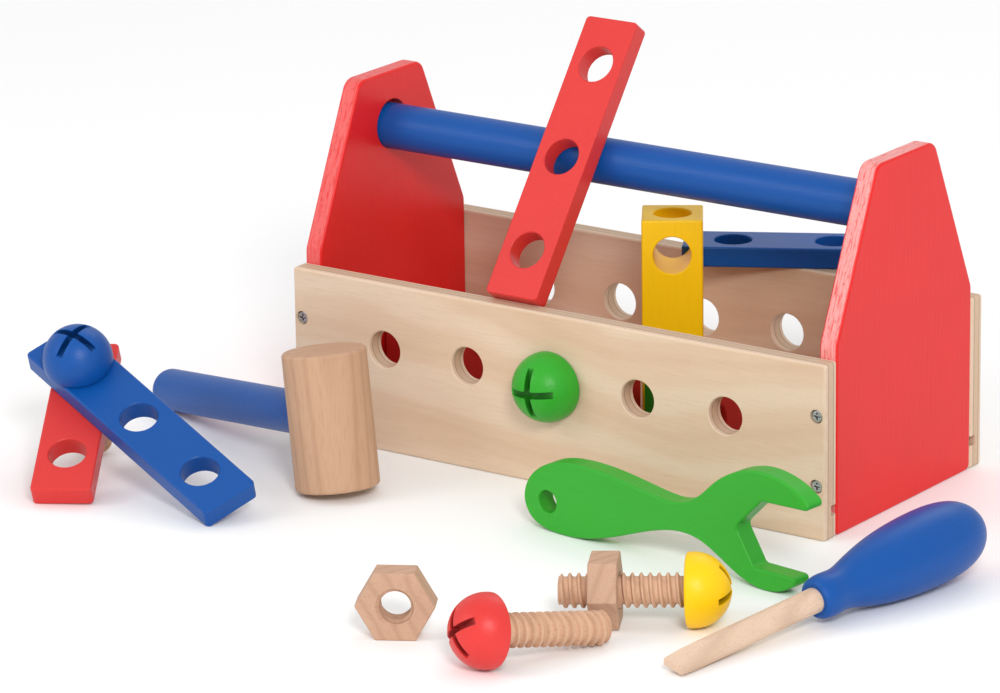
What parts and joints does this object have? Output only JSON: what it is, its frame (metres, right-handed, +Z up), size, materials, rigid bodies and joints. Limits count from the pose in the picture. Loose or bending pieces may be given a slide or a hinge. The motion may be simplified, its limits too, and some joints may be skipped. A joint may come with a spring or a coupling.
{
  "type": "toy toolbox with tools",
  "caption": "Wooden toy carry toolbox with perforated sides and dowel handle, with its bolts, nuts, strips, block, hammer, wrench and screwdriver around it.",
  "frame": {"origin": "the middle of the front panel's lower face, where the toolbox stands on its surface", "axes": "+X along the toolbox's length, +Y from the front panel to the rear panel, +Z up"},
  "size_m": [0.4234, 0.3647, 0.1821],
  "materials": {
    "natural_plywood": "sealed three-ply board, satin",
    "natural_beech": "plain turned beech, matt",
    "red_paint": "red paint on wood, satin",
    "blue_paint": "blue paint on wood, satin",
    "green_paint": "green paint on wood, satin",
    "yellow_paint": "yellow paint on wood, satin",
    "screw_steel": "plated steel"
  },
  "bodies": {
    "toolbox": {"front_side_panel": "natural_plywood", "rear_side_panel": "natural_plywood", "left_end_panel": "red_paint", "right_end_panel": "red_paint", "floor_panel": "natural_plywood", "front_screws": "screw_steel", "rear_screws": "screw_steel"},
    "handle": {"handle_dowel": "blue_paint"},
    "green_bolt": {"green_bolt_head": "green_paint", "green_bolt_shank": "natural_beech"},
    "green_nut": {"green_bolt_nut": "natural_beech"},
    "leaning_strip": {"leaning_red_strip": "red_paint"},
    "block": {"yellow_block": "yellow_paint"},
    "rear_strip": {"rear_blue_strip": "blue_paint"},
    "inner_long_strip": {"inner_red_long_strip": "red_paint"},
    "inner_short_strip": {"inner_red_short_strip": "red_paint"},
    "cube": {"green_cube": "green_paint"},
    "blue_strip": {"joined_blue_strip": "blue_paint"},
    "red_strip": {"joined_red_strip": "red_paint"},
    "blue_bolt": {"blue_bolt_head": "blue_paint", "blue_bolt_shank": "natural_beech"},
    "blue_nut": {"blue_bolt_nut": "natural_beech"},
    "hammer": {"hammer_head": "natural_beech", "hammer_handle": "blue_paint"},
    "wrench": {"wrench": "green_paint"},
    "screwdriver": {"screwdriver_handle": "blue_paint", "screwdriver_blade": "natural_beech"},
    "red_bolt": {"red_bolt_head": "red_paint", "red_bolt_shank": "natural_beech"},
    "yellow_bolt": {"yellow_bolt_head": "yellow_paint", "yellow_bolt_shank": "natural_beech"},
    "yellow_nut": {"yellow_bolt_nut": "natural_beech"},
    "loose_nut": {"loose_nut": "natural_beech"}
  },
  "joints": [
    {"name": "handle_turn", "type": "hinge", "parent": "toolbox", "child": "handle", "pos_m": [0, 0.0575, 0.1254], "axis": [1, 0, 0], "continuous": true},
    {"name": "green_bolt_turn", "type": "hinge", "parent": "toolbox", "child": "green_bolt", "pos_m": [0, -0.0045, 0.0444], "axis": [0, -1, 0], "range_deg": [-720, 720]},
    {"name": "green_nut_travel", "type": "slide", "parent": "toolbox", "child": "green_nut", "axis": [0, -1, 0], "range_m": [-0.0071, 0.0071]},
    {"name": "red_strip_swing", "type": "hinge", "parent": "blue_strip", "child": "red_strip", "pos_m": [-0.183, -0.0905, 0.03895], "axis": [0.203, -0.4345, 0.8775], "continuous": true},
    {"name": "blue_bolt_turn", "type": "hinge", "parent": "blue_strip", "child": "blue_bolt", "pos_m": [-0.183, -0.0905, 0.03895], "axis": [0.203, -0.4345, 0.8775], "range_deg": [0, 720]},
    {"name": "blue_nut_travel", "type": "slide", "parent": "blue_strip", "child": "blue_nut", "axis": [0.203, -0.4345, 0.8775], "range_m": [-0.0071, 0]},
    {"name": "yellow_bolt_turn", "type": "hinge", "parent": "toolbox", "child": "yellow_bolt", "pos_m": [0.1439, -0.1193, 0.01491], "axis": [0.8759, 0.4815, 0.0312], "range_deg": [0, 720]},
    {"name": "yellow_nut_travel", "type": "slide", "parent": "toolbox", "child": "yellow_nut", "axis": [0.8759, 0.4815, 0.0312], "range_m": [-0.0071, 0]},
    {"name": "leaning_strip_lift", "type": "slide", "parent": "toolbox", "child": "leaning_strip", "axis": [0, 0, 1], "range_m": [0, 0.12]},
    {"name": "block_lift", "type": "slide", "parent": "toolbox", "child": "block", "axis": [0, 0, 1], "range_m": [0, 0.01]},
    {"name": "rear_strip_lift", "type": "slide", "parent": "toolbox", "child": "rear_strip", "axis": [0, 0, 1], "range_m": [0, 0.12]},
    {"name": "inner_long_strip_lift", "type": "slide", "parent": "toolbox", "child": "inner_long_strip", "axis": [0, 0, 1], "range_m": [0, 0.05]},
    {"name": "inner_short_strip_lift", "type": "slide", "parent": "toolbox", "child": "inner_short_strip", "axis": [0, 0, 1], "range_m": [0, 0.05]},
    {"name": "cube_lift", "type": "slide", "parent": "toolbox", "child": "cube", "axis": [0, 0, 1], "range_m": [0, 0.05]},
    {"name": "blue_strip_lift", "type": "slide", "parent": "toolbox", "child": "blue_strip", "axis": [0, 0, 1], "range_m": [0, 0.12]},
    {"name": "hammer_lift", "type": "slide", "parent": "toolbox", "child": "hammer", "axis": [0, 0, 1], "range_m": [0, 0.12]},
    {"name": "wrench_lift", "type": "slide", "parent": "toolbox", "child": "wrench", "axis": [0, 0, 1], "range_m": [0, 0.12]},
    {"name": "screwdriver_lift", "type": "slide", "parent": "toolbox", "child": "screwdriver", "axis": [0, 0, 1], "range_m": [0, 0.12]},
    {"name": "red_bolt_lift", "type": "slide", "parent": "toolbox", "child": "red_bolt", "axis": [0, 0, 1], "range_m": [0, 0.12]},
    {"name": "loose_nut_lift", "type": "slide", "parent": "toolbox", "child": "loose_nut", "axis": [0, 0, 1], "range_m": [0, 0.12]}
  ],
  "couplings": [
    {"joint": "green_nut_travel", "follows": "green_bolt_turn", "m_per_rad": -0.00055704},
    {"joint": "blue_nut_travel", "follows": "blue_bolt_turn", "m_per_rad": -0.00055704},
    {"joint": "yellow_nut_travel", "follows": "yellow_bolt_turn", "m_per_rad": -0.00055704}
  ]
}
